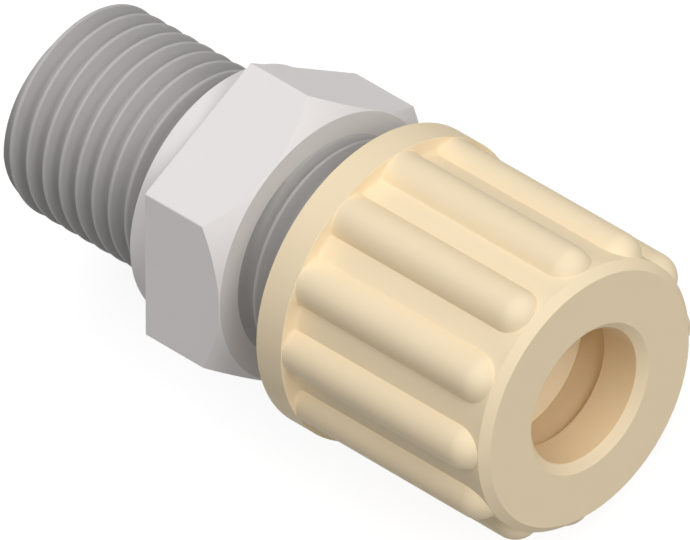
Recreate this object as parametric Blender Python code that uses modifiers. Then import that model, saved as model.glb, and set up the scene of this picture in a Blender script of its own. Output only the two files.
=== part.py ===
"""Male stud fitting for 8 mm tube, with a G 1/4 stud, a 17 mm hexagon and a ribbed union nut.

Three moulded pieces: the body, the union nut and the clamping ring that the nut presses into the
body's cone.  Units are metres.  +X runs along the axis from the stud to the nut's mouth, +Z is up
through a flat of the hexagon, and the origin is on the axis at the middle of the length.  The
fitting lies on the nut's rim.  Stations are distances along the axis from the collar's seat face,
which meets the port.  The threads are plain cylinders at their outside diameters.
"""

import math

import bmesh
import bpy

MM = 0.001

# Stud that screws into the port, a G 1/4 parallel thread
STUD_DIAMETER = 13.157 * MM
STUD_LENGTH = 12.2 * MM
STUD_CHAMFER = 0.4 * MM
RELIEF_DIAMETER = 11.3 * MM
RELIEF_WIDTH = 0.6 * MM
RELIEF_RUNOUT = 0.5 * MM

# Collar that seats on the port, and the hexagon for a spanner
COLLAR_DIAMETER = 16.0 * MM
COLLAR_LENGTH = 1.75 * MM
HEX_ACROSS_FLATS = 17.0 * MM
HEX_LENGTH = 6.0 * MM
HEX_FACE_DIAMETER = 16.9 * MM

# Spigot that carries the nut, an M14 x 1.5 thread. Its length follows from the nut and the ring.
SPIGOT_DIAMETER = 14.0 * MM
SPIGOT_CHAMFER = 0.8 * MM

# Inside of the body: flow bore, tube socket and the cone that the ring seats in
TUBE_DIAMETER = 8.0 * MM
FLOW_BORE_DIAMETER = 6.2 * MM
FLOW_BORE_CHAMFER = 0.3 * MM
SOCKET_CLEARANCE = 0.2 * MM
SOCKET_DEPTH = 12.4 * MM
CONE_MOUTH_DIAMETER = 10.6 * MM
CONE_DEPTH = 3.8 * MM
CONE_HALF_ANGLE = math.radians(12.5)

# Union nut
NUT_GAP = 4.0 * MM
NUT_LENGTH = 17.2 * MM
RIM_DIAMETER = 19.04 * MM
RIM_WIDTH = 2.0 * MM
ROOT_DIAMETER = 17.0 * MM
SHOULDER_FILLET = 0.15 * MM
FRONT_BEVEL = 0.5 * MM
RIB_COUNT = 12
RIB_RADIUS = 1.5 * MM
RIB_SETBACK = 0.03 * MM
RIB_END = 1.95 * MM
MOUTH_DIAMETER = 8.5 * MM
MOUTH_CHAMFER = 0.5 * MM
MOUTH_LENGTH = 3.05 * MM
RECESS_DIAMETER = 9.5 * MM
RECESS_LENGTH = 2.3 * MM
RING_ROOM_DIAMETER = 12.4 * MM
RING_ROOM_LENGTH = 1.7 * MM
THREAD_CLEARANCE = 0.15 * MM
THREAD_ENTRY = 0.5 * MM

# Clamping ring
RING_FIT = 0.1 * MM
RING_SEAT_GAP = 0.05 * MM
RING_BORE_CLEARANCE = 0.1 * MM
RING_NOSE_GAP = 0.4 * MM
RING_COLLAR_DIAMETER = 11.6 * MM
RING_COLLAR_WIDTH = 1.35 * MM
RING_COLLAR_CHAMFER = 0.2 * MM
RING_COLLAR_GAP = 0.8 * MM
RING_ENTRY_DEPTH = 1.05 * MM

# Facets round a full turn
TURN_STEPS = 72
RING_STEPS = 48
RIB_STEPS = 24
ARC_STEPS = 3
OVERRUN = 1.0 * MM

# Stations along the axis, from the seat face
HEX_REAR = COLLAR_LENGTH
HEX_FRONT = HEX_REAR + HEX_LENGTH
NUT_REAR = HEX_FRONT + NUT_GAP
NUT_FRONT = NUT_REAR + NUT_LENGTH
RING_SHOULDER = NUT_FRONT - MOUTH_LENGTH - RECESS_LENGTH
RING_REAR = RING_SHOULDER - RING_SEAT_GAP
SPIGOT_LENGTH = RING_REAR - RING_COLLAR_WIDTH - RING_COLLAR_GAP - HEX_FRONT
SPIGOT_END = HEX_FRONT + SPIGOT_LENGTH
RING_NOSE = SPIGOT_END - CONE_DEPTH + RING_NOSE_GAP
MIDDLE = (NUT_FRONT - STUD_LENGTH) / 2

AXIS_ALONG_X = (0.0, math.pi / 2, 0.0)


def clear_scene():
    """Removes every object of the scene that the script starts in."""
    for obj in list(bpy.data.objects):
        bpy.data.objects.remove(obj, do_unlink=True)


def new_collection(name, helpers=False):
    """A collection under the scene's own. Helpers are kept out of renders."""
    collection = bpy.data.collections.new(name)
    collection.hide_render = helpers
    bpy.context.scene.collection.children.link(collection)
    return collection


def arc(centre, radius, start, end, steps=ARC_STEPS):
    """Points (radius, height) along an arc round centre, from angle start to angle end in degrees."""
    angles = [math.radians(start + (end - start) * i / steps) for i in range(steps + 1)]
    return [(centre[0] + radius * math.cos(a), centre[1] + radius * math.sin(a)) for a in angles]


def turned(name, outline, collection, station, steps=TURN_STEPS, closed=False):
    """A turned solid whose local Z is the fitting's axis.

    The outline is a list of (radius, height) that starts at the top and runs down the outer side.
    It begins and ends on the axis, or is closed round a bore.
    """
    mesh = bpy.data.meshes.new(name)
    points = [(radius, 0.0, height) for radius, height in outline]
    edges = [(i, i + 1) for i in range(len(points) - 1)]
    if closed:
        edges.append((len(points) - 1, 0))
    mesh.from_pydata(points, edges, [])
    obj = bpy.data.objects.new(name, mesh)
    obj.rotation_euler = AXIS_ALONG_X
    obj.location = (station - MIDDLE, 0.0, 0.0)
    collection.objects.link(obj)
    screw = obj.modifiers.new("Turn", "SCREW")
    screw.axis = "Z"
    screw.steps = steps
    screw.render_steps = steps
    screw.use_merge_vertices = True
    screw.merge_threshold = 0.00001
    return obj


def boolean(obj, operation, other):
    """Joins another mesh, or a collection of them, to this one, or cuts it from this one."""
    modifier = obj.modifiers.new(operation.title(), "BOOLEAN")
    modifier.operation = operation
    modifier.solver = "EXACT"
    if isinstance(other, bpy.types.Collection):
        modifier.operand_type = "COLLECTION"
        modifier.collection = other
    else:
        modifier.object = other


def as_helper(obj):
    """Draws a cutter or a joined form as wire and keeps it out of renders."""
    obj.hide_render = True
    obj.display_type = "WIRE"


def finish(obj, material, sharp_degrees=25.0):
    """Applies the modifiers, then shades round faces smooth and keeps the edges crisp."""
    graph = bpy.context.evaluated_depsgraph_get()
    mesh = bpy.data.meshes.new_from_object(obj.evaluated_get(graph))
    mesh.name = obj.name
    obj.modifiers.clear()
    obj.data = mesh
    mesh.materials.clear()
    mesh.materials.append(material)
    mesh.shade_smooth()
    mesh.set_sharp_from_angle(angle=math.radians(sharp_degrees))


def plastic(name, colour, roughness):
    """A moulded plastic, as a Principled BSDF."""
    material = bpy.data.materials.new(name)
    material.use_nodes = True
    shader = material.node_tree.nodes["Principled BSDF"]
    shader.inputs["Base Color"].default_value = (*colour, 1.0)
    shader.inputs["Roughness"].default_value = roughness
    shader.inputs["Metallic"].default_value = 0.0
    return material


def body_outline():
    """Stud, collar and spigot as one solid bar. Heights are stations."""
    stud = STUD_DIAMETER / 2
    relief = RELIEF_DIAMETER / 2
    spigot = SPIGOT_DIAMETER / 2
    return [
        (0.0, SPIGOT_END),
        (spigot - SPIGOT_CHAMFER, SPIGOT_END),
        (spigot, SPIGOT_END - SPIGOT_CHAMFER),
        (spigot, HEX_REAR + HEX_LENGTH / 2),
        (COLLAR_DIAMETER / 2, HEX_REAR + HEX_LENGTH / 2),
        (COLLAR_DIAMETER / 2, 0.0),
        (relief, 0.0),
        (relief, -RELIEF_WIDTH),
        (stud, -RELIEF_WIDTH - RELIEF_RUNOUT),
        (stud, STUD_CHAMFER - STUD_LENGTH),
        (stud - STUD_CHAMFER, -STUD_LENGTH),
        (0.0, -STUD_LENGTH),
    ]


def hex_limit_outline():
    """The cone that chamfers the hexagon's front corners, and a cylinder clear of them behind it."""
    face = HEX_FACE_DIAMETER / 2
    corner = HEX_ACROSS_FLATS / math.sqrt(3.0)
    clear = corner + OVERRUN
    return [
        (0.0, HEX_FRONT + OVERRUN),
        (face - OVERRUN, HEX_FRONT + OVERRUN),
        (clear, HEX_FRONT - (clear - face)),
        (clear, HEX_REAR - OVERRUN),
        (0.0, HEX_REAR - OVERRUN),
    ]


def body_bore_outline():
    """Cone, tube socket and flow bore, run past both ends of the body."""
    mouth = CONE_MOUTH_DIAMETER / 2
    small_end = mouth - CONE_DEPTH * math.tan(CONE_HALF_ANGLE)
    socket = (TUBE_DIAMETER + SOCKET_CLEARANCE) / 2
    flow = FLOW_BORE_DIAMETER / 2
    return [
        (0.0, SPIGOT_END + OVERRUN),
        (mouth + OVERRUN * math.tan(CONE_HALF_ANGLE), SPIGOT_END + OVERRUN),
        (small_end, SPIGOT_END - CONE_DEPTH),
        (socket, SPIGOT_END - CONE_DEPTH),
        (socket, SPIGOT_END - SOCKET_DEPTH),
        (flow, SPIGOT_END - SOCKET_DEPTH),
        (flow, FLOW_BORE_CHAMFER - STUD_LENGTH),
        (flow + FLOW_BORE_CHAMFER + OVERRUN, -STUD_LENGTH - OVERRUN),
        (0.0, -STUD_LENGTH - OVERRUN),
    ]


def make_hexagon(helpers):
    """The hexagon as a six-sided bar, with its front corners cut by the chamfer's cone."""
    mesh = bpy.data.meshes.new("hexagon_blank")
    shape = bmesh.new()
    corner = HEX_ACROSS_FLATS / math.sqrt(3.0)
    bmesh.ops.create_cone(
        shape, cap_ends=True, segments=6, radius1=corner, radius2=corner, depth=HEX_LENGTH
    )
    bmesh.ops.translate(shape, verts=shape.verts, vec=(0, 0, HEX_REAR + HEX_LENGTH / 2))
    shape.to_mesh(mesh)
    shape.free()
    hexagon = bpy.data.objects.new("hexagon_blank", mesh)
    hexagon.rotation_euler = AXIS_ALONG_X
    hexagon.location = (-MIDDLE, 0.0, 0.0)
    helpers.objects.link(hexagon)
    as_helper(hexagon)
    limit = turned("hexagon_limit", hex_limit_outline(), helpers, 0.0)
    as_helper(limit)
    boolean(hexagon, "INTERSECT", limit)
    return hexagon


def make_body(pieces, helpers, material):
    """The stud body: a turned bar joined to the hexagon, then bored through."""
    body = turned("stud_body", body_outline(), pieces, 0.0)
    bore = turned("body_bore", body_bore_outline(), helpers, 0.0)
    as_helper(bore)
    boolean(body, "UNION", make_hexagon(helpers))
    boolean(body, "DIFFERENCE", bore)
    finish(body, material)
    return body


def nut_outline():
    """The nut's blank from its front face back: bevel, root of the ribs, shoulder fillet and rim."""
    root = ROOT_DIAMETER / 2
    rim = RIM_DIAMETER / 2
    fillet_centre = (root + SHOULDER_FILLET, RIM_WIDTH + SHOULDER_FILLET)
    return [
        (0.0, NUT_LENGTH),
        (root - FRONT_BEVEL, NUT_LENGTH),
        (root, NUT_LENGTH - FRONT_BEVEL),
        *arc(fillet_centre, SHOULDER_FILLET, 180.0, 270.0),
        (rim, RIM_WIDTH),
        (rim, 0.0),
        (0.0, 0.0),
    ]


def rib_outline():
    """One rib as a round bar that starts inside the rim and ends in a half sphere."""
    end_centre = (0.0, NUT_LENGTH - RIB_END)
    dome = arc(end_centre, RIB_RADIUS, 90.0, 0.0, steps=6)
    dome[0] = (0.0, end_centre[1] + RIB_RADIUS)
    return [*dome, (RIB_RADIUS, RIM_WIDTH / 2), (0.0, RIM_WIDTH / 2)]


def nut_bore_outline():
    """Mouth, recess, room for the ring and threaded hole, run past both ends of the nut."""
    mouth = MOUTH_DIAMETER / 2
    recess = RECESS_DIAMETER / 2
    room = RING_ROOM_DIAMETER / 2
    thread = SPIGOT_DIAMETER / 2 + THREAD_CLEARANCE
    recess_top = NUT_LENGTH - MOUTH_LENGTH
    shoulder = recess_top - RECESS_LENGTH
    thread_top = shoulder - RING_ROOM_LENGTH
    return [
        (0.0, NUT_LENGTH + OVERRUN),
        (mouth + MOUTH_CHAMFER + OVERRUN, NUT_LENGTH + OVERRUN),
        (mouth, NUT_LENGTH - MOUTH_CHAMFER),
        (mouth, recess_top),
        (recess, recess_top),
        (recess, shoulder),
        (room, shoulder),
        (room, thread_top),
        (thread, thread_top),
        (thread, THREAD_ENTRY),
        (thread + THREAD_ENTRY + OVERRUN, -OVERRUN),
        (0.0, -OVERRUN),
    ]


def make_ribs(helpers):
    """The ribs, evenly spaced round the nut, each a copy of one bar turned about the axis."""
    ribs = bpy.data.collections.new("rib_blanks")
    ribs.hide_render = True
    helpers.children.link(ribs)
    centre = RIM_DIAMETER / 2 - RIB_SETBACK - RIB_RADIUS
    first = turned("rib_01", rib_outline(), ribs, NUT_REAR, steps=RIB_STEPS)
    for i in range(RIB_COUNT):
        angle = 2.0 * math.pi * i / RIB_COUNT
        rib = first
        if i:
            rib = first.copy()
            rib.name = f"rib_{i + 1:02d}"
            ribs.objects.link(rib)
        rib.location = (NUT_REAR - MIDDLE, centre * math.sin(angle), -centre * math.cos(angle))
        rib.rotation_mode = "YXZ"
        rib.rotation_euler = (angle, math.pi / 2, 0.0)
        as_helper(rib)
    return ribs


def make_nut(pieces, helpers, material):
    """The union nut: a turned blank joined to its ribs, then bored through."""
    nut = turned("union_nut", nut_outline(), pieces, NUT_REAR)
    bore = turned("nut_bore", nut_bore_outline(), helpers, NUT_REAR)
    as_helper(bore)
    boolean(nut, "UNION", make_ribs(helpers))
    boolean(nut, "DIFFERENCE", bore)
    finish(nut, material)
    return nut


def ring_outline():
    """The clamping ring, closed round its bore, from its collar at the top to its nose."""
    length = RING_REAR - RING_NOSE
    collar = RING_COLLAR_DIAMETER / 2
    entry = RECESS_DIAMETER / 2
    bore = (TUBE_DIAMETER + RING_BORE_CLEARANCE) / 2
    mouth = CONE_MOUTH_DIAMETER / 2 - RING_FIT
    slope = math.tan(CONE_HALF_ANGLE)
    collar_foot = length - RING_COLLAR_WIDTH
    cone_top = mouth + (RING_NOSE + collar_foot - SPIGOT_END) * slope
    nose = mouth - (SPIGOT_END - RING_NOSE) * slope
    return [
        (entry, length),
        (collar - RING_COLLAR_CHAMFER, length),
        (collar, length - RING_COLLAR_CHAMFER),
        (collar, collar_foot),
        (cone_top, collar_foot),
        (nose, 0.0),
        (bore, 0.0),
        (bore, length - RING_ENTRY_DEPTH),
    ]


def make_ring(pieces, material):
    """The clamping ring, one turned piece between the nut's shoulder and the body's cone."""
    ring = turned("clamping_ring", ring_outline(), pieces, RING_NOSE, steps=RING_STEPS, closed=True)
    finish(ring, material)
    return ring


def main():
    """Builds the fitting as it lies, with the nut screwed home."""
    clear_scene()
    pieces = new_collection("male_stud_fitting")
    helpers = new_collection("cutters", helpers=True)
    body_plastic = plastic("natural_fluoropolymer", (0.78, 0.75, 0.74), 0.45)
    nut_plastic = plastic("beige_fluoropolymer", (0.80, 0.66, 0.46), 0.5)
    make_body(pieces, helpers, body_plastic)
    make_nut(pieces, helpers, nut_plastic)
    make_ring(pieces, nut_plastic)


main()
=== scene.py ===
"""Looks of a male stud fitting for 8 mm tube: body, union nut, clamping ring, materials and stage.

Laid out as a Blender add-on and run as a script.  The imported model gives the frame: metres, +X along
the axis from the stud to the nut's mouth, +Z up.  Every new piece is one closed surface.  But for the
nut's ribs it is in polar form round the axis: a row is a place on the turned outline, a column is an
angle round the axis measured from +Y to +Z, and a point is (x, r cos a, r sin a).
"""

import math

import bmesh
import bpy
import numpy as np
from mathutils import Matrix, Vector


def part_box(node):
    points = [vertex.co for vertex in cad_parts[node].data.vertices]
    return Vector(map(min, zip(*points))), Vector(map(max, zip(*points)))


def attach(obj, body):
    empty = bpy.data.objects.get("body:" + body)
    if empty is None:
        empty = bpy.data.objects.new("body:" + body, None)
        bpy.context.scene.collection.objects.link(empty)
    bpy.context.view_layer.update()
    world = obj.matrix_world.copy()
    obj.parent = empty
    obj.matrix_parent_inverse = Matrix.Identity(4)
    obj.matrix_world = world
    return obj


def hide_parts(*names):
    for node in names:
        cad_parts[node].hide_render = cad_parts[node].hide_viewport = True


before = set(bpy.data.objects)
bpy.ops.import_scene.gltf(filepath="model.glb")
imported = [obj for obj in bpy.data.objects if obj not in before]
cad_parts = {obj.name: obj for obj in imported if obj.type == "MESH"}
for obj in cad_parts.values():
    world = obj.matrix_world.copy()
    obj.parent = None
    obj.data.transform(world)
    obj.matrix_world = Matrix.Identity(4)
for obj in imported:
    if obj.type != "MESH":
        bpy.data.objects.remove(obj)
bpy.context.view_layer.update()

bl_info = {
    "name": "Male stud fitting",
    "version": (1, 0, 0),
    "blender": (4, 5, 0),
    "location": "3D View > Sidebar > Fitting",
    "description": "Builds a moulded stud body, its ribbed union nut and clamping ring, and a stage",
    "category": "Object",
}

MM = 0.001
BODY_LOW, BODY_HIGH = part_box("stud_body")
NUT_LOW, NUT_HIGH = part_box("union_nut")
RING_LOW, RING_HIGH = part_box("clamping_ring")

# Steps of a rounded corner, columns of a full turn and steps across a thread's crest or root
ROUND_STEPS = 4
TURN_COLUMNS = 180
CREST_STEPS = 6

# Steps from a rib's top to its foot, on over the barrel, and along the rib's straight part
RIB_STEPS = 10
BARREL_STEPS = 4
LENGTH_STEPS = 5

# Steps of the fan round a rib's end: towards each side of the sector, and towards the front
FAN_SIDE_STEPS = 8
FAN_FRONT_STEPS = 20

# A rounding and its run-in, which keeps the faces beside it flat, take up to this share of a side
SIDE_SHARE = 0.4
HOLD = 0.03 * MM

# Points nearer than this become one, and an edge is crisp where its faces turn by more than this
MERGE = 0.0005 * MM
SHARP = math.radians(33.0)

# Both threads are placed by a crest's distance at this angle from +Y, 15 degrees off vertical
CREST_ANGLE = math.radians(105.0)

# The tone of a point is 0 on plain surfaces.  In a thread it goes from TONE_START at the crests to 1
# in the roots.  Inside the nut it is 1, and on the ring TONE_START.  Above TONE_SPLIT a material takes
# its zone tones, which are painted light and shade: a painted highlight on the crests, painted shade
# on the flanks, roots painted lighter against their shade, a warm painted bounce light inside the nut
# and a ring painted paler, as if lit
TONE_START = 0.5
TONE_SPLIT = 0.4

# Places in a thread from crest 0 to root 1: where the flank's painted shade begins and ends, the tone
# that a run-out starts from, and the place that the crests of the nut's thread on the body are taken
# for, which dims their painted highlight
FLANK_START = 0.08
FLANK_END = 0.6
FLANK_PLACE = 0.3
CARRIER_HIGHLIGHT_DIM = 0.05

# On the nut's plastic the ring's paler painted light ends at this place, and the painted warm bounce
# light of the nut's inside begins
RING_PLACE = 0.02

# The nut's outline runs this share into the countersink, to round its edge, and is cut off there
ENTRY_STUB = 0.1

# Radius of a Whitworth thread's crests and roots, in pitches
WHITWORTH_RADIUS = 0.137329

# Over this share of its depth, from the front face, the mouth's chamfer has the tone of the outside;
# past it begins the painted warm bounce light of the nut's inside
CHAMFER_SHARE = 0.97

# Moulded fluoropolymer: roughness and how much the grain changes it, refraction, and drift of tone
ROUGHNESS = 0.68
GRAIN_ROUGHNESS = 0.04
REFRACTION = 1.42
DRIFT = 0.015

# Tints of the lamps
WHITE = (1.0, 1.0, 1.0)
WARM = (1.0, 0.98, 0.94)
COOL = (0.93, 1.0, 1.12)

# Photograph: an isometric drawing at this many pixels per millimetre, with the axis turned this far
PIXELS_PER_MM = 17.531
PICTURE_WIDTH = 690.0
ROLL = math.radians(30.0)
VIEW_CENTRE = (0.694 * MM, -1.088 * MM)


def linear(hex_colour):
    """An sRGB hex colour such as #E5E1E0 as linear red, green and blue."""
    values = np.array([int(hex_colour[i : i + 2], 16) for i in (1, 3, 5)]) / 255.0
    turned = np.where(values <= 0.04045, values / 12.92, ((values + 0.055) / 1.055) ** 2.4)
    return tuple(float(v) for v in turned)


def length(name, description, millimetres):
    """A length that a user can set, in metres."""
    return bpy.props.FloatProperty(
        name=name, description=description, default=millimetres * MM, unit="LENGTH", precision=5
    )


def strength(name, description, default):
    """A strength that a user can set, 0 or more."""
    return bpy.props.FloatProperty(name=name, description=description, default=default, min=0.0)


def colour(name, description, hex_colour):
    """A colour that a user can set."""
    return bpy.props.FloatVectorProperty(
        name=name, description=description, default=linear(hex_colour), subtype="COLOR", min=0.0, max=1.0
    )


class StudBodySizes(bpy.types.PropertyGroup):
    """Sizes of the one-piece body."""

    stud_diameter: length("Stud diameter", "Outside diameter of the port thread, G 1/4", 13.157)
    stud_pitch: length("Stud pitch", "Pitch of the port thread", 1.337)
    stud_crest: length("Stud crest", "A crest's distance from the seat face", -7.36)
    stud_chamfer: length("Stud chamfer", "Chamfer of the stud's end", 0.4)
    stud_length: length("Stud length", "From the seat face to the stud's end", 12.2)
    relief_diameter: length("Relief diameter", "Groove between thread and seat face", 11.3)
    relief_width: length("Relief width", "Width of the groove", 0.6)
    relief_runout: length("Relief run-out", "Slope from the groove up to the thread", 0.5)
    collar_diameter: length("Collar diameter", "Round collar that seats on the port", 16.0)
    collar_length: length("Collar length", "Length of the collar", 1.75)
    hex_across_flats: length("Across flats", "Spanner size of the hexagon", 17.0)
    hex_length: length("Hexagon length", "Length of the hexagon", 6.0)
    hex_corner: length("Corner radius", "Radius of the hexagon's corners", 0.12)
    hex_face_diameter: length("Face diameter", "Front face inside the hexagon's chamfer", 16.9)
    spigot_diameter: length("Spigot diameter", "Outside diameter of the nut thread, M14", 14.0)
    spigot_pitch: length("Spigot pitch", "Pitch of the nut thread", 1.5)
    spigot_crest: length("Spigot crest", "A crest's distance from the seat face", 8.85)
    spigot_chamfer: length("Spigot chamfer", "Chamfer of the spigot's end", 0.8)
    flow_diameter: length("Flow bore", "Bore right through the body", 6.2)
    flow_chamfer: length("Flow chamfer", "Chamfer of the bore at the stud's end", 0.3)
    socket_diameter: length("Socket diameter", "Socket that the tube is pushed into", 8.2)
    socket_depth: length("Socket depth", "Depth of the socket from the spigot's end", 12.4)
    cone_diameter: length("Cone mouth", "Mouth of the cone that the ring seats in", 10.6)
    cone_depth: length("Cone depth", "Depth of the cone", 3.8)
    cone_angle: bpy.props.FloatProperty(
        name="Cone angle", description="Half angle of the cone", default=math.radians(12.5), subtype="ANGLE"
    )
    spigot_runout: length("Thread run-out", "The nut thread rises over this length", 0.4)
    edge: length("Edge radius", "Radius that the mould leaves on outer edges", 0.03)


class UnionNutSizes(bpy.types.PropertyGroup):
    """Sizes of the nut."""

    rim_diameter: length("Rim diameter", "Plain rim at the rear", 19.04)
    rim_width: length("Rim width", "Length of the rim", 2.0)
    root_diameter: length("Root diameter", "Barrel between the ribs", 17.0)
    shoulder_fillet: length("Shoulder fillet", "Fillet where barrel and ribs meet the rim", 0.3)
    front_bevel: length("Front bevel", "Bevel of the front edge", 0.5)
    rib_count: bpy.props.IntProperty(name="Ribs", description="Ribs round the nut", default=12, min=3)
    rib_radius: length("Rib radius", "Radius of a half-round rib", 1.5)
    rib_setback: length("Rib set-back", "How far the ribs lie inside the rim", 0.03)
    rib_end: length("Rib end", "Centre of a rib's round end, from the front face", 1.95)
    mouth_diameter: length("Mouth diameter", "Mouth that the tube goes through", 8.5)
    mouth_chamfer: length("Mouth chamfer", "Chamfer of the mouth", 0.5)
    mouth_length: length("Mouth length", "Length of the mouth", 3.05)
    recess_diameter: length("Recess diameter", "Recess behind the mouth", 9.5)
    recess_length: length("Recess length", "Length of the recess", 2.3)
    room_diameter: length("Ring room diameter", "Room for the ring's collar", 12.4)
    room_length: length("Ring room length", "Length of that room", 1.7)
    thread_clearance: length("Thread clearance", "Play between the nut's thread and the spigot's", 0.15)
    entry: length("Thread entry", "Countersink at the rear, wider than the thread by this", 0.5)
    edge: length("Edge radius", "Radius that the mould leaves on outer edges", 0.03)


class ClampingRingSizes(bpy.types.PropertyGroup):
    """Sizes of the ring."""

    bedding: length("Bedding", "How far the collar rises to the nut's shoulder that pushes it", 0.04)
    collar_diameter: length("Collar diameter", "Collar that the nut's shoulder pushes", 11.6)
    collar_width: length("Collar width", "Width of the collar", 1.35)
    collar_chamfer: length("Collar chamfer", "Chamfer of the collar", 0.2)
    entry_diameter: length("Entry diameter", "Wide end of the entry for the tube", 9.5)
    entry_depth: length("Entry depth", "Depth of the entry", 1.05)
    bore_diameter: length("Bore diameter", "Bore that grips the tube", 8.1)
    cone_top_diameter: length("Cone top", "Wide end of the outer cone", 10.7547)
    cone_nose_diameter: length("Cone nose", "Narrow end of the outer cone", 8.8925)
    edge: length("Edge radius", "Radius that the mould leaves on outer edges", 0.03)


class PlasticColours(bpy.types.PropertyGroup):
    """Colours of the mouldings."""

    body: colour("Body", "Natural fluoropolymer of the body", "#E7E3E2")
    # Painted light and shade in the threads: crests painted lighter as a highlight line, flanks painted
    # darker as shade, and roots painted lighter against the shade that falls in them
    crest: colour("Crests", "Highlighted crests of the threads", "#B8B6B5")
    flank: colour("Flanks", "The same plastic on the dull flanks of the threads", "#A8A6A5")
    root: colour("Roots", "The same plastic in the roots of the threads", "#BBB9B7")
    nut: colour("Nut", "Beige fluoropolymer of the nut", "#F1DEBC")
    # Painted light: the nut's inside is painted a deeper, warmer tone for the warm light that bounces about
    # in it
    inner: colour("Inside", "The same inside the nut, where light comes through the wall", "#F6DBB0")
    # Painted light: the ring is painted paler, as if lit, though it lies deep in the mouth
    ring: colour("Ring", "The same on the ring, paler", "#FFECCA")


class StageSettings(bpy.types.PropertyGroup):
    """Floor, light and camera."""

    floor: colour("Floor", "What the pale floor sends back to the fitting", "#8C8C8C")
    glow: strength("Floor glow", "What the floor adds to the eye, so that it is white", 0.85)
    key: strength("Key light", "Strength of the wide key", 2.72)
    front: strength("Front light", "Strength of the front lamp", 0.55)
    low: strength("Low light", "Strength of the level lamp", 0.26)
    rear: strength("Rear light", "Strength of the lamp behind", 0.7)
    fill: strength("Fill light", "Strength of the light table", 0.54)
    ambient: strength("Ambient", "Light from all round", 0.01)
    lens: bpy.props.FloatProperty(
        name="Lens",
        description="A lens so long that the view is all but parallel",
        default=1300.0,
        unit="CAMERA",
    )


def rounded(outline, columns):
    """Rows of a turned outline, with its corners rounded, column by column.

    The outline is a list of (x, r, radius), where x and r may vary with the column.  A corner with a
    radius becomes an arc tangent to both of its sides.  The arc is swung from one tangent point to
    the other round its centre, which lies on the line that halves the corner: with the arms a and b
    from there to the tangent points and the swing s between them, a point of the arc at the share t
    is (sin((1 - t) s) a + sin(t s) b) / sin s.  A short run-in on both sides keeps the faces beside
    the arc flat.
    """
    full = [np.array([np.broadcast_to(v, columns) for v in stop[:2]], float) for stop in outline]
    rows = []
    for i, (point, stop) in enumerate(zip(full, outline)):
        radius = stop[2] if len(stop) > 2 else 0.0
        if not np.any(radius):
            rows.append(point)
            continue
        sides = [full[i - 1] - point, full[(i + 1) % len(full)] - point]
        reach = [np.linalg.norm(side, axis=0) for side in sides]
        ways = [side / size for side, size in zip(sides, reach)]
        corner = np.arccos(np.clip((ways[0] * ways[1]).sum(0), -1.0, 1.0))
        run = np.minimum(radius / np.tan(corner / 2), SIDE_SHARE * np.minimum(*reach))
        hold = np.minimum(HOLD, SIDE_SHARE * (np.minimum(*reach) - run))
        middle = ways[0] + ways[1]
        centre = point + middle / np.linalg.norm(middle, axis=0) * run / np.cos(corner / 2)
        arms = [point + way * run - centre for way in ways]
        swing = math.pi - corner
        rows.append(point + ways[0] * (run + hold))
        for share in np.linspace(0.0, 1.0, ROUND_STEPS + 1):
            turned = np.sin((1 - share) * swing) * arms[0] + np.sin(share * swing) * arms[1]
            rows.append(centre + turned / np.sin(swing))
        rows.append(point + ways[1] * (run + hold))
    return np.array(rows)


def hexagon_radius(angles, across_flats, edge):
    """Radius of a hexagon with flats up and down and rounded corners.

    On a flat it is half the width across flats over the cosine of the angle from that flat's middle.
    Near a corner it is the far side of a circle of the edge's radius that touches both flats.
    """
    half = math.radians(30.0)
    from_flat = np.mod(angles, 2 * half) - half
    flat = across_flats / 2 / np.cos(from_flat)
    away = half - np.abs(from_flat)
    centre = (across_flats / 2 - edge) / math.cos(half)
    circle = centre * np.cos(away) + np.sqrt(np.clip(edge**2 - (centre * np.sin(away)) ** 2, 0.0, None))
    return np.where(away < corner_reach(across_flats, edge), circle, flat)


def corner_reach(across_flats, edge):
    """Angle from a hexagon's corner to where its rounding ends on a flat."""
    return math.radians(30.0) - math.atan((1 - 2 * edge / across_flats) * math.tan(math.radians(30.0)))


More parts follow.
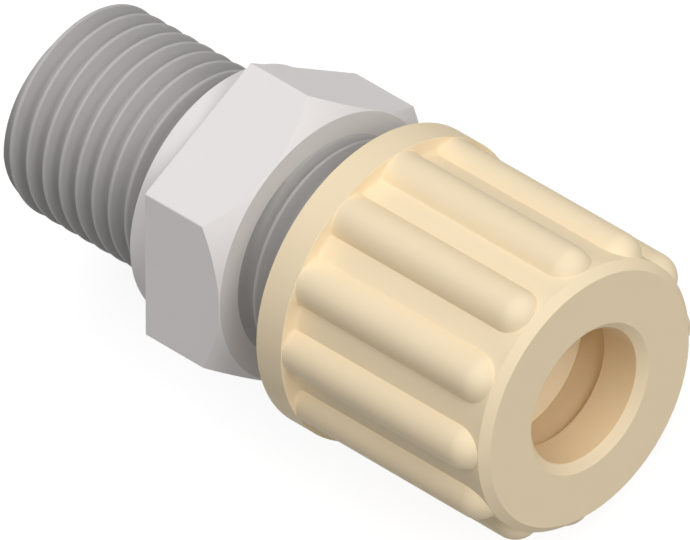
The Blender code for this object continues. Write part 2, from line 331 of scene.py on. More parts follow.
class Thread:
    """A right-hand thread: how deep its surface lies below the crests, at any place and angle.

    The form is mirrored about the crest.  From there out it is a flat, an arc down onto the flank, a
    straight flank, an arc onto the root and a flat.  The depth is taken at the place along the axis
    less the lead that the angle has gained, modulo the pitch.  The flank is its angle off square to
    the axis, and flats and radii are those of crest and root.
    """

    def __init__(self, pitch, crest, flank, flats, radii):
        self.pitch, self.crest, self.flank, self.radii = pitch, crest, flank, radii
        spans = [radius * math.cos(flank) for radius in radii]
        self.stops = [flats[0], flats[0] + spans[0], pitch / 2 - flats[1] - spans[1], pitch / 2 - flats[1]]
        self.drops = [radius * (1 - math.sin(flank)) for radius in radii]
        run = (self.stops[2] - self.stops[1]) / math.tan(flank)
        self.height = self.drops[0] + run + self.drops[1]

    def depth(self, x, angles):
        """Depth below the crests at x and angle."""
        lead = (angles - CREST_ANGLE) / (2 * math.pi) * self.pitch
        u = np.abs(np.mod(x - self.crest - lead + self.pitch / 2, self.pitch) - self.pitch / 2)
        top, bottom = self.radii
        crest_arc = top - np.sqrt(np.clip(top**2 - np.clip(u - self.stops[0], 0, None) ** 2, 0, None))
        root_arc = bottom - np.sqrt(np.clip(bottom**2 - np.clip(self.stops[3] - u, 0, None) ** 2, 0, None))
        flank = self.drops[0] + (u - self.stops[1]) / math.tan(self.flank)
        return np.select(
            [u <= self.stops[1], u <= self.stops[2]], [crest_arc, flank], self.height - root_arc
        )

    def rows(self, low, high, angles):
        """Places of rows that follow the thread's turns from low to high, where they are cut off.

        Each row starts at a place across a crest or root and climbs by one pitch in a full turn, so
        that the flanks lie between rows.  A plain circle closes the stretch at both ends.
        """
        crest = np.linspace(-self.stops[1], self.stops[1], CREST_STEPS + 1)
        root = np.linspace(self.stops[2], self.pitch - self.stops[2], CREST_STEPS + 1)
        form = np.concatenate([crest, root])
        first = math.floor((low - self.crest) / self.pitch) - 2
        last = math.ceil((high - self.crest) / self.pitch) + 1
        starts = (np.arange(first, last + 1)[:, None] * self.pitch + form[None, :]).ravel()
        lead = (angles - CREST_ANGLE) / (2 * math.pi) * self.pitch
        x = self.crest + starts[:, None] + lead[None, :]
        x = np.clip(x, low, high)
        used = x[(x > low).any(1) & (x < high).any(1)]
        return np.vstack([np.full_like(x[:1], low), used, np.full_like(x[:1], high)])


def points_of(x, radius, angles):
    """Points of a polar surface: (x, r cos a, r sin a)."""
    return np.stack([x, radius * np.cos(angles), radius * np.sin(angles)], axis=-1)


def grid(points, closed_rows=False):
    """Points and faces of a surface given as rows and columns of points, its rows closed or open."""
    rows, columns = points.shape[:2]
    index = np.arange(rows * columns).reshape(rows, columns)
    if closed_rows:
        index = np.vstack([index, index[:1]])
    faces = np.stack([index[:-1, :-1], index[:-1, 1:], index[1:, 1:], index[1:, :-1]], axis=-1)
    return points.reshape(-1, 3), faces.reshape(-1, 4)


def between_rings(outer, inner, outer_angles, inner_angles):
    """Points and triangles of a flat band between two rings whose columns differ.

    Both rings start at the same angle.  Their steps are sorted by angle, and each step makes one
    triangle with the point that the other ring has reached.
    """
    ends = np.concatenate([outer_angles[1:], inner_angles[1:]])
    is_outer = np.arange(len(ends)) < len(outer_angles) - 1
    order = np.argsort(ends, kind="stable")
    step_outer = is_outer[order]
    at_outer = np.cumsum(step_outer)
    at_inner = np.cumsum(~step_outer)
    shift = len(outer_angles)
    third = np.where(step_outer, shift + at_inner, at_outer)
    first = np.where(step_outer, at_outer - 1, shift + at_inner - 1)
    second = np.where(step_outer, at_outer, shift + at_inner)
    return np.vstack([outer, inner]), np.stack([first, second, third], axis=-1)


def closed_piece(name, surfaces, material, tone):
    """One closed mesh from several surfaces that share their borders, smooth with crisp edges.

    The tone is one number a point, stored as the attribute "thread", and it places the painted light
    and shade.
    """
    points = np.vstack([surface[0] for surface in surfaces])
    starts = np.cumsum([0] + [len(surface[0]) for surface in surfaces[:-1]])
    faces = [face for surface, start in zip(surfaces, starts) for face in (surface[1] + start).tolist()]
    mesh = bpy.data.meshes.new(name)
    mesh.from_pydata(points.tolist(), [], faces)
    mesh.attributes.new("thread", "FLOAT", "POINT").data.foreach_set("value", tone.astype(np.float32))
    shape = bmesh.new()
    shape.from_mesh(mesh)
    bmesh.ops.remove_doubles(shape, verts=shape.verts, dist=MERGE)
    bmesh.ops.recalc_face_normals(shape, faces=shape.faces)
    open_edges = [edge for edge in shape.edges if len(edge.link_faces) != 2]
    if open_edges:
        raise RuntimeError(f"{name} isn't closed: {len(open_edges)} open edges")
    if shape.calc_volume(signed=True) < 0:
        bmesh.ops.reverse_faces(shape, faces=shape.faces)
    shape.to_mesh(mesh)
    shape.free()
    mesh.shade_smooth()
    mesh.set_sharp_from_angle(angle=SHARP)
    mesh.materials.append(material)
    piece = bpy.data.objects.new(name, mesh)
    bpy.context.scene.collection.objects.link(piece)
    return piece


def body_angles(sizes):
    """Columns of the body, evenly spread, with more of them at the hexagon's rounded corners."""
    even = np.linspace(0.0, 2 * math.pi, TURN_COLUMNS + 1)
    beside = np.array([-2.0, -1.0, -0.5, 0.0, 0.5, 1.0, 2.0])
    beside *= corner_reach(sizes.hex_across_flats, sizes.hex_corner)
    corners = (np.arange(7)[:, None] * math.radians(60.0) + beside[None, :]).ravel()
    corners = corners[(corners > 0) & (corners < 2 * math.pi)]
    return np.unique(np.round(np.concatenate([even, corners]), 9))


def stud_thread(sizes):
    """Whitworth form, as on pipe threads: flanks 27.5 degrees off square, crests and roots round."""
    radius = WHITWORTH_RADIUS * sizes.stud_pitch
    return Thread(sizes.stud_pitch, sizes.stud_crest, math.radians(27.5), (0.0, 0.0), (radius, radius))


def spigot_thread(sizes):
    """Metric form: flanks 30 degrees off square, narrow crests and round roots."""
    pitch = sizes.spigot_pitch
    flats = (0.04 * pitch, 0.02 * pitch)
    radii = (0.05 * pitch, 0.1 * pitch)
    return Thread(pitch, sizes.spigot_crest, math.radians(30.0), flats, radii)


def threaded(
    thread, low, high, radius, angles, blank_low=(), blank_high=(), inside=False, runout=0.0, shaded=0.0
):
    """Rows of a threaded stretch as (x, r, tone), with plain blanks at both ends.

    The middle rows follow the thread.  A blank is a list of (x, r) of a cone at an end: there the
    rows are plain circles, and the surface is the lower of cone and thread, or the higher of both
    where the thread is inside a hole.  Over the run-out at the low end the thread grows from nothing
    to its full depth, as 3 t^2 - 2 t^3, and its tone goes over from a flank's painted shade.  Crests
    can take the tone of a place that far down, which dims their painted highlight.
    """
    pick = np.maximum if inside else np.minimum
    stretch = []
    for blank in (blank_low, None, blank_high):
        if blank is None:
            x = thread.rows(low, high, angles)
            limit = None
        elif len(blank):
            places = np.array([place for place, _ in blank])
            x = np.broadcast_to(places[:, None], (len(places), len(angles)))
            limit = np.array([size for _, size in blank])[:, None]
        else:
            continue
        depth = thread.depth(x, angles[None, :])
        place = np.clip(depth / thread.height, shaded, 1.0)
        if runout:
            grown = np.clip((x - low) / runout, 0.0, 1.0)
            depth = depth * grown**2 * (3.0 - 2.0 * grown)
            place = np.maximum(place, FLANK_PLACE * (1.0 - grown))
        tone = TONE_START + (1.0 - TONE_START) * place
        wall = radius - depth
        if limit is not None:
            wall = pick(wall, limit)
        stretch.append(np.stack([x, wall, np.broadcast_to(tone, x.shape)]))
    return np.concatenate(stretch, axis=1)


def slope(start, end, steps):
    """Evenly spaced (x, r) along a cone."""
    return np.linspace(start, end, steps + 1)


def plain(outline, columns, tone=0.0):
    """Rows of a plain turned stretch as (x, r, tone), all of one tone."""
    rows = rounded(outline, columns)
    return np.stack([rows[:, 0], rows[:, 1], np.full(rows[:, 0].shape, tone)])


def body_surface(sizes, seat):
    """The body as one closed polar surface, and its tone.

    From the stud's end forward the rows run over thread, relief, seat face, collar, hexagon, nut
    thread and spigot end, and then back through cone, socket, stop and flow bore.  The hexagon's
    chamfer is a 45 degree cone: its edge lies as far behind the front face as the hexagon's radius
    there is greater than the face's.
    """
    angles = body_angles(sizes)
    columns = len(angles)
    edge = sizes.edge
    stud = sizes.stud_diameter / 2
    collar = sizes.collar_diameter / 2
    relief = sizes.relief_diameter / 2
    face = sizes.hex_face_diameter / 2
    spigot = sizes.spigot_diameter / 2
    flow = sizes.flow_diameter / 2
    socket = sizes.socket_diameter / 2
    mouth = sizes.cone_diameter / 2
    cone_end = mouth - sizes.cone_depth * math.tan(sizes.cone_angle)
    hexagon = hexagon_radius(angles, sizes.hex_across_flats, sizes.hex_corner)
    hex_rear = sizes.collar_length
    hex_front = hex_rear + sizes.hex_length
    stud_end = -sizes.stud_length
    relief_front = -sizes.relief_width
    spigot_end = float(BODY_HIGH.x) - seat

    port = threaded(
        stud_thread(sizes),
        stud_end + sizes.stud_chamfer,
        relief_front - sizes.relief_runout,
        stud,
        angles,
        slope((stud_end, stud - sizes.stud_chamfer), (stud_end + sizes.stud_chamfer, stud), 5)[:-1],
        slope((relief_front - sizes.relief_runout, stud), (relief_front, relief), 6)[1:],
    )
    grip = plain(
        [
            (relief_front, relief),
            (0.0, relief, edge),
            (0.0, collar, edge),
            (hex_rear, collar, edge / 2),
            (hex_rear, hexagon, edge),
            (hex_front - (hexagon - face), hexagon, edge / 2),
            (hex_front, face),
            (hex_front, spigot + edge),
        ],
        columns,
    )
    carrier = threaded(
        spigot_thread(sizes),
        hex_front,
        spigot_end - sizes.spigot_chamfer,
        spigot,
        angles,
        (),
        slope(
            (spigot_end - sizes.spigot_chamfer, spigot), (spigot_end, spigot - sizes.spigot_chamfer), 8
        )[1:],
        runout=sizes.spigot_runout,
        shaded=CARRIER_HIGHLIGHT_DIM,
    )
    inside = plain(
        [
            (spigot_end, spigot - sizes.spigot_chamfer),
            (spigot_end, mouth, edge),
            (spigot_end - sizes.cone_depth, cone_end),
            (spigot_end - sizes.cone_depth, socket, edge),
            (spigot_end - sizes.socket_depth, socket),
            (spigot_end - sizes.socket_depth, flow, edge),
            (stud_end + sizes.flow_chamfer, flow, edge),
            (stud_end, flow + sizes.flow_chamfer, edge),
            (stud_end, stud - sizes.stud_chamfer),
        ],
        columns,
    )
    rows = np.concatenate([port, grip[:, 1:], carrier, inside[:, 1:-1]], axis=1)
    surface = grid(points_of(rows[0] + seat, rows[1], angles[None, :]), closed_rows=True)
    return surface, rows[2].ravel()


def rib_rows():
    """Half of the rows across a rib, as shares: up to 1 on the rib, and on to 2 over the barrel."""
    return np.concatenate([np.linspace(0.0, 1.0, RIB_STEPS + 1), np.linspace(1.0, 2.0, BARREL_STEPS + 1)[1:]])


def rib_point(sizes, centre, station, way, share):
    """Points of one sector of the nut's outside, as (x, along the barrel, out from the axis).

    On the rib a point lies on a sphere of the rib's radius, at a slant from the top that grows with
    the share until the sphere meets the barrel, in the direction "way": 0 and 180 degrees are the
    straight sides, and between them the directions fan out round the rib's end.  The slant at the
    foot solves (R sin s cos w)^2 + (c + R cos s)^2 = barrel^2 for cos s.  Past the foot the point
    runs straight, in the unrolled barrel, to the border of the sector: its side, or the bevel's edge.
    """
    radius = sizes.rib_radius
    barrel = sizes.root_diameter / 2
    half = math.pi / sizes.rib_count
    end = NUT_HIGH.x - sizes.rib_end
    front = NUT_HIGH.x - sizes.front_bevel
    a = (radius * np.sin(way)) ** 2
    b = centre * radius
    c = centre**2 + (radius * np.cos(way)) ** 2 - barrel**2
    foot_cos = -c / (b + np.sqrt(b**2 - a * c))
    foot = np.arccos(foot_cos)
    slant = foot * np.minimum(share, 1.0)
    x = station + radius * np.sin(slant) * np.sin(way)
    side = radius * np.sin(slant) * np.cos(way)
    out = centre + radius * np.cos(slant)
    foot_angle = np.arctan2(side, out)
    across = np.cos(way) * half * barrel
    scale = np.minimum(
        half * barrel / np.maximum(np.abs(np.cos(way)), 1e-12),
        (front - end) / np.maximum(np.sin(way), 1e-12),
    )
    straight = np.abs(np.sin(way)) < 1e-9
    border_x = np.where(straight, x, end + scale * np.sin(way))
    border_angle = np.where(straight, np.sign(across) * half, scale * np.cos(way) / barrel)
    past = np.clip(share - 1.0, 0.0, 1.0)
    on_barrel = share > 1.0
    angle = foot_angle + (border_angle - foot_angle) * past
    x = np.where(on_barrel, x + (border_x - x) * past, x)
    side = np.where(on_barrel, barrel * np.sin(angle), side)
    out = np.where(on_barrel, barrel * np.cos(angle), out)
    return x, side, out


def nut_surfaces(sizes, body):
    """The nut as surfaces that share their borders, and its tone.

    The surfaces are one ribbed sector for each rib, the turned part from the ribs' shoulder round the
    rim and through the nut to the front face, the bevel, and the front face.  The wall that the ribs
    stand on has the columns of the sectors, and the bevel those of their borders.
    """
    rim = sizes.rim_diameter / 2
    barrel = sizes.root_diameter / 2
    centre = rim - sizes.rib_setback - sizes.rib_radius
    rear, front = float(NUT_LOW.x), float(NUT_HIGH.x)
    wall = rear + sizes.rim_width
    end = front - sizes.rib_end
    share = rib_rows()
    half = math.pi / sizes.rib_count
    corner = math.atan2(sizes.rib_end - sizes.front_bevel, half * barrel)

    _, side, out = rib_point(sizes, centre, wall, np.zeros(1), share)
    half_angle = np.arctan2(side, out)
    half_radius = np.hypot(side, out)
    step = rim - half_radius
    fillet = np.minimum(sizes.shoulder_fillet, SIDE_SHARE * step)
    lip = np.minimum(sizes.edge, SIDE_SHARE * step)

    fan = np.concatenate(
        [
            np.linspace(0.0, corner, FAN_SIDE_STEPS + 1),
            np.linspace(corner, math.pi - corner, FAN_FRONT_STEPS + 1)[1:-1],
            np.linspace(math.pi - corner, math.pi, FAN_SIDE_STEPS + 1),
        ]
    )
    straight = np.linspace(wall + sizes.shoulder_fillet * 2, end, LENGTH_STEPS + 1)[:-1]
    ways = np.concatenate([np.zeros(1 + len(straight)), fan, np.full(1 + len(straight), math.pi)])
    stations = np.concatenate([[wall], straight, np.full(len(fan), end), straight[::-1], [wall]])
    x, side, out = rib_point(sizes, centre, stations[:, None], ways[:, None], share[None, :])
    x[0] = x[-1] = wall + fillet
    sectors = []
    turns = 2 * math.pi * np.arange(sizes.rib_count) / sizes.rib_count
    for turn in turns:
        y = out * math.cos(turn) - side * math.sin(turn)
        z = out * math.sin(turn) + side * math.cos(turn)
        sectors.append(grid(np.stack([x, y, z], axis=-1)))

    def round_the_nut(values, mirrored):
        """Values of half a sector for every column: the far side, then the near side, in each sector."""
        sector = np.concatenate([mirrored * values[:0:-1], values[:-1]])
        return np.concatenate([np.tile(sector, sizes.rib_count), sector[:1]])

    angles = round_the_nut(half_angle, -1.0)
    angles += np.concatenate([np.repeat(turns, 2 * (len(share) - 1)), [2 * math.pi]])
    radius = round_the_nut(half_radius, 1.0)
    fillet = round_the_nut(fillet, 1.0)
    lip = round_the_nut(lip, 1.0)
    columns = len(angles)

    thread = spigot_thread(body)
    seat = float(BODY_LOW.x) + body.stud_length
    thread.crest += seat
    hole = body.spigot_diameter / 2 + sizes.thread_clearance
    low_hole = hole - thread.height
    mouth = sizes.mouth_diameter / 2
    recess = sizes.recess_diameter / 2
    room = sizes.room_diameter / 2
    recess_top = front - sizes.mouth_length
    shoulder = recess_top - sizes.recess_length
    thread_top = shoulder - sizes.room_length
    sink = hole + sizes.entry - low_hole
    shoulder_arc = [
        (wall + fillet * (1 - math.sin(a)), radius + fillet * (1 - math.cos(a)))
        for a in np.linspace(0.0, math.pi / 2, ROUND_STEPS + 1)
    ]
    outside = plain(
        [
            *shoulder_arc,
            (wall, np.full(columns, rim), lip),
            (rear, rim, sizes.edge),
            (rear, hole + sizes.entry, sizes.edge),
            (rear + ENTRY_STUB * sizes.entry, hole + (1.0 - ENTRY_STUB) * sizes.entry),
        ],
        columns,
    )[:, :-1]
    inner_thread = threaded(
        thread,
        rear + sink,
        thread_top,
        hole,
        angles,
        slope((rear, hole + sizes.entry), (rear + sink, low_hole), 16)[1:-1],
        (),
        inside=True,
    )
    # Inside the nut the tone is 1, its painted warm bounce light; the mouth's chamfer mostly keeps the
    # outside's tone
    inside = plain(
        [
            (thread_top, hole),
            (thread_top, room),
            (shoulder, room),
            (shoulder, recess, sizes.edge),
            (recess_top, recess),
            (recess_top, mouth, sizes.edge),
            (front - sizes.mouth_chamfer, mouth, sizes.edge),
            (front, mouth + sizes.mouth_chamfer, sizes.edge),
            (front, barrel - sizes.front_bevel),
        ],
        columns,
        1.0,
    )[:, 1:-1]
    inside[2][inside[0] > front - sizes.mouth_chamfer * CHAMFER_SHARE] = 0.0
    rows = np.concatenate([outside, inner_thread, inside], axis=1)
    turned = grid(points_of(rows[0], rows[1], angles[None, :]))

    x, side, out = rib_point(sizes, centre, end, fan[(fan >= corner) & (fan <= math.pi - corner)], 2.0)
    edge_angles = np.arctan2(side, out)[::-1]
    front_angles = (turns[:, None] + edge_angles[None, :-1]).ravel()
    front_angles = np.append(front_angles, front_angles[0] + 2 * math.pi)
    bevel = plain(
        [
            (front - sizes.front_bevel, barrel),
            (front, barrel - sizes.front_bevel, sizes.edge),
            (front, barrel - sizes.front_bevel * 2),
        ],
        len(front_angles),
    )[:, :-1]
    front_edge = grid(points_of(bevel[0], bevel[1], front_angles[None, :]))
    outer = points_of(bevel[0][-1], bevel[1][-1], front_angles)
    inner = points_of(rows[0][-1], rows[1][-1], angles)
    front_face = between_rings(outer, inner, front_angles, angles)
    surfaces = [*sectors, turned, front_edge, front_face]
    tones = [np.zeros(len(surface[0])) for surface in surfaces]
    tones[len(sectors)] = rows[2].ravel()
    return surfaces, np.concatenate(tones)


def ring_surface(sizes):
    """The ring as one closed polar surface, from its rear face over collar and cone to its bore."""
    rear, nose = float(RING_HIGH.x) + sizes.bedding, float(RING_LOW.x)
    angles = np.linspace(0.0, 2 * math.pi, TURN_COLUMNS + 1)
    collar = sizes.collar_diameter / 2
    outline = [
        (rear, sizes.entry_diameter / 2, sizes.edge),
        (rear, collar - sizes.collar_chamfer),
        (rear - sizes.collar_chamfer, collar),
        (rear - sizes.collar_width, collar, sizes.edge),
        (rear - sizes.collar_width, sizes.cone_top_diameter / 2, sizes.edge),
        (nose, sizes.cone_nose_diameter / 2, sizes.edge),
        (nose, sizes.bore_diameter / 2, sizes.edge),
        (rear - sizes.entry_depth, sizes.bore_diameter / 2, sizes.edge),
    ]
    rows = rounded(outline, len(angles))
    return grid(points_of(rows[:, 0], rows[:, 1], angles[None, :]), closed_rows=True)


def add_node(tree, kind, settings=None, links=None):
    """Adds a node, sets its sockets and options by name, and links its inputs from other sockets."""
    node = tree.nodes.new(kind)
    for name, value in (settings or {}).items():
        if name in node.inputs:
            node.inputs[name].default_value = value
        else:
            setattr(node, name, value)
    for name, source in (links or {}).items():
        tree.links.new(source, node.inputs[name])
    return node


# Sockets of a mix node for its two colours and its result, which share their names with others
MIX_A, MIX_B, MIX_RESULT = 6, 7, 2


def mix_colours(tree, share):
    """A node that mixes two colours by the given share of the second."""
    node = add_node(tree, "ShaderNodeMix", {"data_type": "RGBA", "blend_type": "MIX"})
    tree.links.new(share, node.inputs[0])
    return node


def moulded_plastic(name, main, painted_tones):
    """A moulded fluoropolymer: satin, with a fine mould grain and slow changes of tone.

    The grain is spark-eroded texture, about 0.05 mm across in life and drawn at 0.12 mm to show.  The
    tone drifts by about a hundredth over 3 mm, where the melt flowed.  The zone tones are a list of
    (place, colour) from 0 at a thread's crests to 1 in its roots, and they are painted light and shade:
    the threads are painted darker as shade, with their crests painted lighter as a highlight, and on
    the nut's plastic the ring is painted paler and the inside warmer, as if lit.
    """
    material = bpy.data.materials.new(name)
    material.use_nodes = True
    tree = material.node_tree
    tree.nodes.clear()
    place = add_node(tree, "ShaderNodeTexCoord").outputs["Object"]
    flow = add_node(tree, "ShaderNodeTexNoise", {"Scale": 1 / (3 * MM), "Detail": 3.0}, {"Vector": place})
    grain = add_node(tree, "ShaderNodeTexNoise", {"Scale": 1 / (0.12 * MM), "Detail": 2.0}, {"Vector": place})
    base = mix_colours(tree, flow.outputs["Fac"])
    base.inputs[MIX_A].default_value = (*[c * (1.0 - DRIFT) for c in main], 1.0)
    base.inputs[MIX_B].default_value = (*[min(c * (1.0 + DRIFT), 1.0) for c in main], 1.0)
    zone = add_node(tree, "ShaderNodeAttribute", {"attribute_name": "thread"}).outputs["Fac"]
    ramp = add_node(tree, "ShaderNodeValToRGB", {}, {"Fac": zone})
    stops = ramp.color_ramp.elements
    for i, (down, tone) in enumerate(painted_tones):
        stop = stops[i] if i < len(stops) else stops.new(1.0)
        stop.position = TONE_START + (1.0 - TONE_START) * down
        stop.color = (*tone, 1.0)
    # Past TONE_SPLIT the painted light and shade of the zones takes the place of the plain colour
    in_painted_zone = add_node(tree, "ShaderNodeMath", {"operation": "GREATER_THAN"}, {0: zone})
    in_painted_zone.inputs[1].default_value = TONE_SPLIT
    joined = mix_colours(tree, in_painted_zone.outputs[0])
    tree.links.new(base.outputs[MIX_RESULT], joined.inputs[MIX_A])
    tree.links.new(ramp.outputs["Color"], joined.inputs[MIX_B])
    rough = add_node(
        tree,
        "ShaderNodeMapRange",
        {"To Min": ROUGHNESS - GRAIN_ROUGHNESS, "To Max": ROUGHNESS + GRAIN_ROUGHNESS},
        {"Value": grain.outputs["Fac"]},
    )
    bump = add_node(
        tree,
        "ShaderNodeBump",
        {"Strength": 0.12, "Distance": 0.004 * MM},
        {"Height": grain.outputs["Fac"]},
    )
    shader = add_node(
        tree,
        "ShaderNodeBsdfPrincipled",
        {"Metallic": 0.0, "IOR": REFRACTION},
        {
            "Base Color": joined.outputs[MIX_RESULT],
            "Roughness": rough.outputs["Result"],
            "Normal": bump.outputs["Normal"],
        },
    )
    add_node(tree, "ShaderNodeOutputMaterial", {}, {"Surface": shader.outputs["BSDF"]})
    return material


def nut_plastic():
    """The plastic that the nut and the ring share, made once."""
    name = "beige_fluoropolymer_moulded"
    tints = bpy.context.scene.fitting_colours
    found = bpy.data.materials.get(name)
    ring, inner = tuple(tints.ring), tuple(tints.inner)
    # Painted light: the ring is painted paler, as if lit, and the nut's inside a warmer tone for the light
    # that bounces about in it
    painted_light_zones = [(0.0, ring), (RING_PLACE, ring), (RING_PLACE, inner)]
    return found or moulded_plastic(name, tints.nut, painted_light_zones)


class FITTING_OT_stud_body(bpy.types.Operator):
    """Builds the stud body with both of its threads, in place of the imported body"""

    bl_idname = "fitting.stud_body"
    bl_label = "Stud body"

    def execute(self, context):
        sizes = context.scene.fitting_body
        tints = context.scene.fitting_colours
        # Painted light and shade in the threads: lighter crest lines as a painted highlight, darker flanks as
        # painted shade, and roots painted lighter against their shade
        crest, flank, root = tuple(tints.crest), tuple(tints.flank), tuple(tints.root)
        threads = [(0.0, crest), (FLANK_START, flank), (FLANK_END, flank), (1.0, root)]
        material = moulded_plastic("natural_fluoropolymer_moulded", tints.body, threads)
        surface, tone = body_surface(sizes, float(BODY_LOW.x) + sizes.stud_length)
        piece = closed_piece("stud_body_moulding", [surface], material, tone)
        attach(piece, "body")
        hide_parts("stud_body")
        return {"FINISHED"}


class FITTING_OT_union_nut(bpy.types.Operator):
    """Builds the ribbed union nut with its inner thread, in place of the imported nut"""

    bl_idname = "fitting.union_nut"
    bl_label = "Union nut"

    def execute(self, context):
        surfaces, tone = nut_surfaces(context.scene.fitting_nut, context.scene.fitting_body)
        piece = closed_piece("union_nut_moulding", surfaces, nut_plastic(), tone)
        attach(piece, "nut")
        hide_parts("union_nut")
        return {"FINISHED"}


class FITTING_OT_clamping_ring(bpy.types.Operator):
    """Builds the clamping ring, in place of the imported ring"""

    bl_idname = "fitting.clamping_ring"
    bl_label = "Clamping ring"

    def execute(self, context):
        surface = ring_surface(context.scene.fitting_ring)
        # The ring's tone gives it its paler colour, painted light as if the ring were lit
        tone = np.full(len(surface[0]), TONE_START)
        piece = closed_piece("clamping_ring_moulding", [surface], nut_plastic(), tone)
        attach(piece, "ring")
        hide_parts("clamping_ring")
        return {"FINISHED"}


class FITTING_OT_stage(bpy.types.Operator):
    """Lays the floor and sets the lights, the surroundings and the camera"""

    bl_idname = "fitting.stage"
    bl_label = "Stage"

    def execute(self, context):
        settings = context.scene.fitting_stage
        lay_floor(settings)
        light_scene(settings)
        set_camera(settings)
        context.scene.view_settings.view_transform = "Standard"
        return {"FINISHED"}


def seen_level(tree, unseen, seen):
    """One level for rays from the camera or sent on by a gloss or a clear body, another for the rest."""
    path = add_node(tree, "ShaderNodeLightPath").outputs
    some = add_node(
        tree, "ShaderNodeMath", {"operation": "MAXIMUM"}, {0: path["Is Camera Ray"], 1: path["Is Glossy Ray"]}
    )
    every = add_node(
        tree, "ShaderNodeMath", {"operation": "MAXIMUM"}, {0: some.outputs[0], 1: path["Is Transmission Ray"]}
    )
    level = add_node(
        tree, "ShaderNodeMapRange", {"To Min": unseen, "To Max": seen}, {"Value": every.outputs[0]}
    )
    return level.outputs["Result"]


def lay_floor(settings):
    """A plain pale floor under the nut's rim, as the milky sheet of a light table.

    To the eye it glows up to white, less in the shadow, and it lets the lamp below it through.
    """
    reach = 1.5
    height = float(NUT_LOW.z)
    corners = [(reach * x, reach * y, height) for x, y in ((-1, -1), (1, -1), (1, 1), (-1, 1))]
    mesh = bpy.data.meshes.new("floor")
    mesh.from_pydata(corners, [], [(0, 1, 2, 3)])
    material = bpy.data.materials.new("matt_white_paper")
    material.use_nodes = True
    tree = material.node_tree
    tree.nodes.clear()
    paper = add_node(tree, "ShaderNodeBsdfDiffuse", {"Color": (*settings.floor, 1.0)})
    glow = add_node(tree, "ShaderNodeEmission", {}, {"Strength": seen_level(tree, 0.0, settings.glow)})
    both = add_node(tree, "ShaderNodeAddShader", {}, {0: paper.outputs[0], 1: glow.outputs[0]})
    add_node(tree, "ShaderNodeOutputMaterial", {}, {"Surface": both.outputs[0]})
    mesh.materials.append(material)
    floor = bpy.data.objects.new("floor", mesh)
    floor.visible_shadow = False
    bpy.context.scene.collection.objects.link(floor)


def add_sun(name, toward, energy, spread, tint):
    """A sun whose light comes from the given direction, spread over so many degrees."""
    light = bpy.data.lights.new(name, "SUN")
    light.energy = energy
    light.angle = math.radians(spread)
    light.color = tint
    lamp = bpy.data.objects.new(name, light)
    lamp.rotation_euler = Vector(toward).to_track_quat("Z", "Y").to_euler()
    bpy.context.scene.collection.objects.link(lamp)


def light_scene(settings):
    """A wide soft key, a front and a level lamp before the mouth, one behind, and a cool light table."""
    add_sun("key", (0.25, 0.13, 0.95), settings.key, 110.0, WHITE)
    add_sun("front", (0.9, 0.1, 0.7), settings.front, 20.0, WARM)
    add_sun("low", (1.0, 0.0, 0.08), settings.low, 20.0, WARM)
    add_sun("rear", (-1.0, 0.0, 0.0), settings.rear, 4.0, WHITE)
    add_sun("light_table", (0.39, -0.44, -0.44), settings.fill, 60.0, COOL)
    world = bpy.data.worlds.new("pale_surroundings")
    world.use_nodes = True
    tree = world.node_tree
    tree.nodes.clear()
    level = seen_level(tree, settings.ambient, 1.0)
    air = add_node(tree, "ShaderNodeBackground", {"Color": (*WHITE, 1.0)}, {"Strength": level})
    add_node(tree, "ShaderNodeOutputWorld", {}, {"Surface": air.outputs[0]})
    bpy.context.scene.world = world


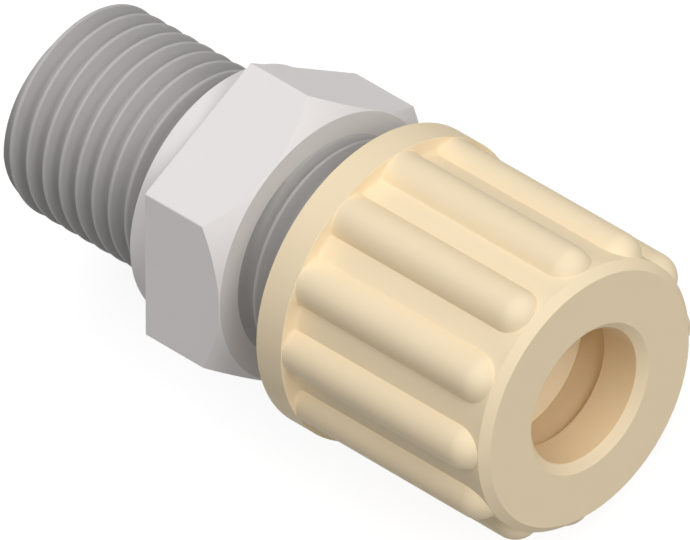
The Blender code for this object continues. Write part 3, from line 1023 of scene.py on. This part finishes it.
def set_camera(settings):
    """The photograph's isometric view, from far off with a long lens.

    In the drawing's own frame the camera looks along (-1, 1, -1).  Turning that frame by the roll
    about the axis brings the hexagon's flats level, as the fitting lies.
    """
    roll = Matrix.Rotation(-ROLL, 3, "X")
    right = roll @ Vector((1.0, 1.0, 0.0)).normalized()
    up = roll @ Vector((-1.0, 1.0, 2.0)).normalized()
    back = right.cross(up)
    camera = bpy.data.cameras.new("camera")
    camera.lens = settings.lens
    camera.sensor_width = 36.0
    width = PICTURE_WIDTH / PIXELS_PER_MM * MM
    distance = width * settings.lens / camera.sensor_width
    camera.clip_start = distance / 2
    camera.clip_end = distance * 2
    holder = bpy.data.objects.new("camera", camera)
    holder.matrix_world = Matrix.Translation(
        right * VIEW_CENTRE[0] + up * VIEW_CENTRE[1] + back * distance
    ) @ Matrix((right, up, back)).transposed().to_4x4()
    bpy.context.scene.collection.objects.link(holder)
    bpy.context.scene.camera = holder


class FITTING_PT_panel(bpy.types.Panel):
    """Sidebar panel with the builders and their settings"""

    bl_idname = "FITTING_PT_panel"
    bl_label = "Male stud fitting"
    bl_space_type = "VIEW_3D"
    bl_region_type = "UI"
    bl_category = "Fitting"

    def draw(self, context):
        for operator, group in (
            ("fitting.stud_body", context.scene.fitting_body),
            ("fitting.union_nut", context.scene.fitting_nut),
            ("fitting.clamping_ring", context.scene.fitting_ring),
            ("fitting.stage", context.scene.fitting_stage),
            (None, context.scene.fitting_colours),
        ):
            box = self.layout.box()
            if operator:
                box.operator(operator)
            for name in group.bl_rna.properties.keys():
                if name not in ("rna_type", "name"):
                    box.prop(group, name)


CLASSES = (
    StudBodySizes,
    UnionNutSizes,
    ClampingRingSizes,
    PlasticColours,
    StageSettings,
    FITTING_OT_stud_body,
    FITTING_OT_union_nut,
    FITTING_OT_clamping_ring,
    FITTING_OT_stage,
    FITTING_PT_panel,
)

SETTINGS = {
    "fitting_body": StudBodySizes,
    "fitting_nut": UnionNutSizes,
    "fitting_ring": ClampingRingSizes,
    "fitting_colours": PlasticColours,
    "fitting_stage": StageSettings,
}


def register():
    """Registers the classes and hangs the settings on the scene."""
    for cls in CLASSES:
        bpy.utils.register_class(cls)
    for name, group in SETTINGS.items():
        setattr(bpy.types.Scene, name, bpy.props.PointerProperty(type=group))


def unregister():
    """Takes the settings off the scene and unregisters the classes."""
    for name in SETTINGS:
        delattr(bpy.types.Scene, name)
    for cls in reversed(CLASSES):
        bpy.utils.unregister_class(cls)


def main():
    """Builds every piece and the stage."""
    register()
    bpy.ops.fitting.stage()
    bpy.ops.fitting.stud_body()
    bpy.ops.fitting.union_nut()
    bpy.ops.fitting.clamping_ring()
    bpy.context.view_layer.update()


if __name__ == "__main__":
    main()
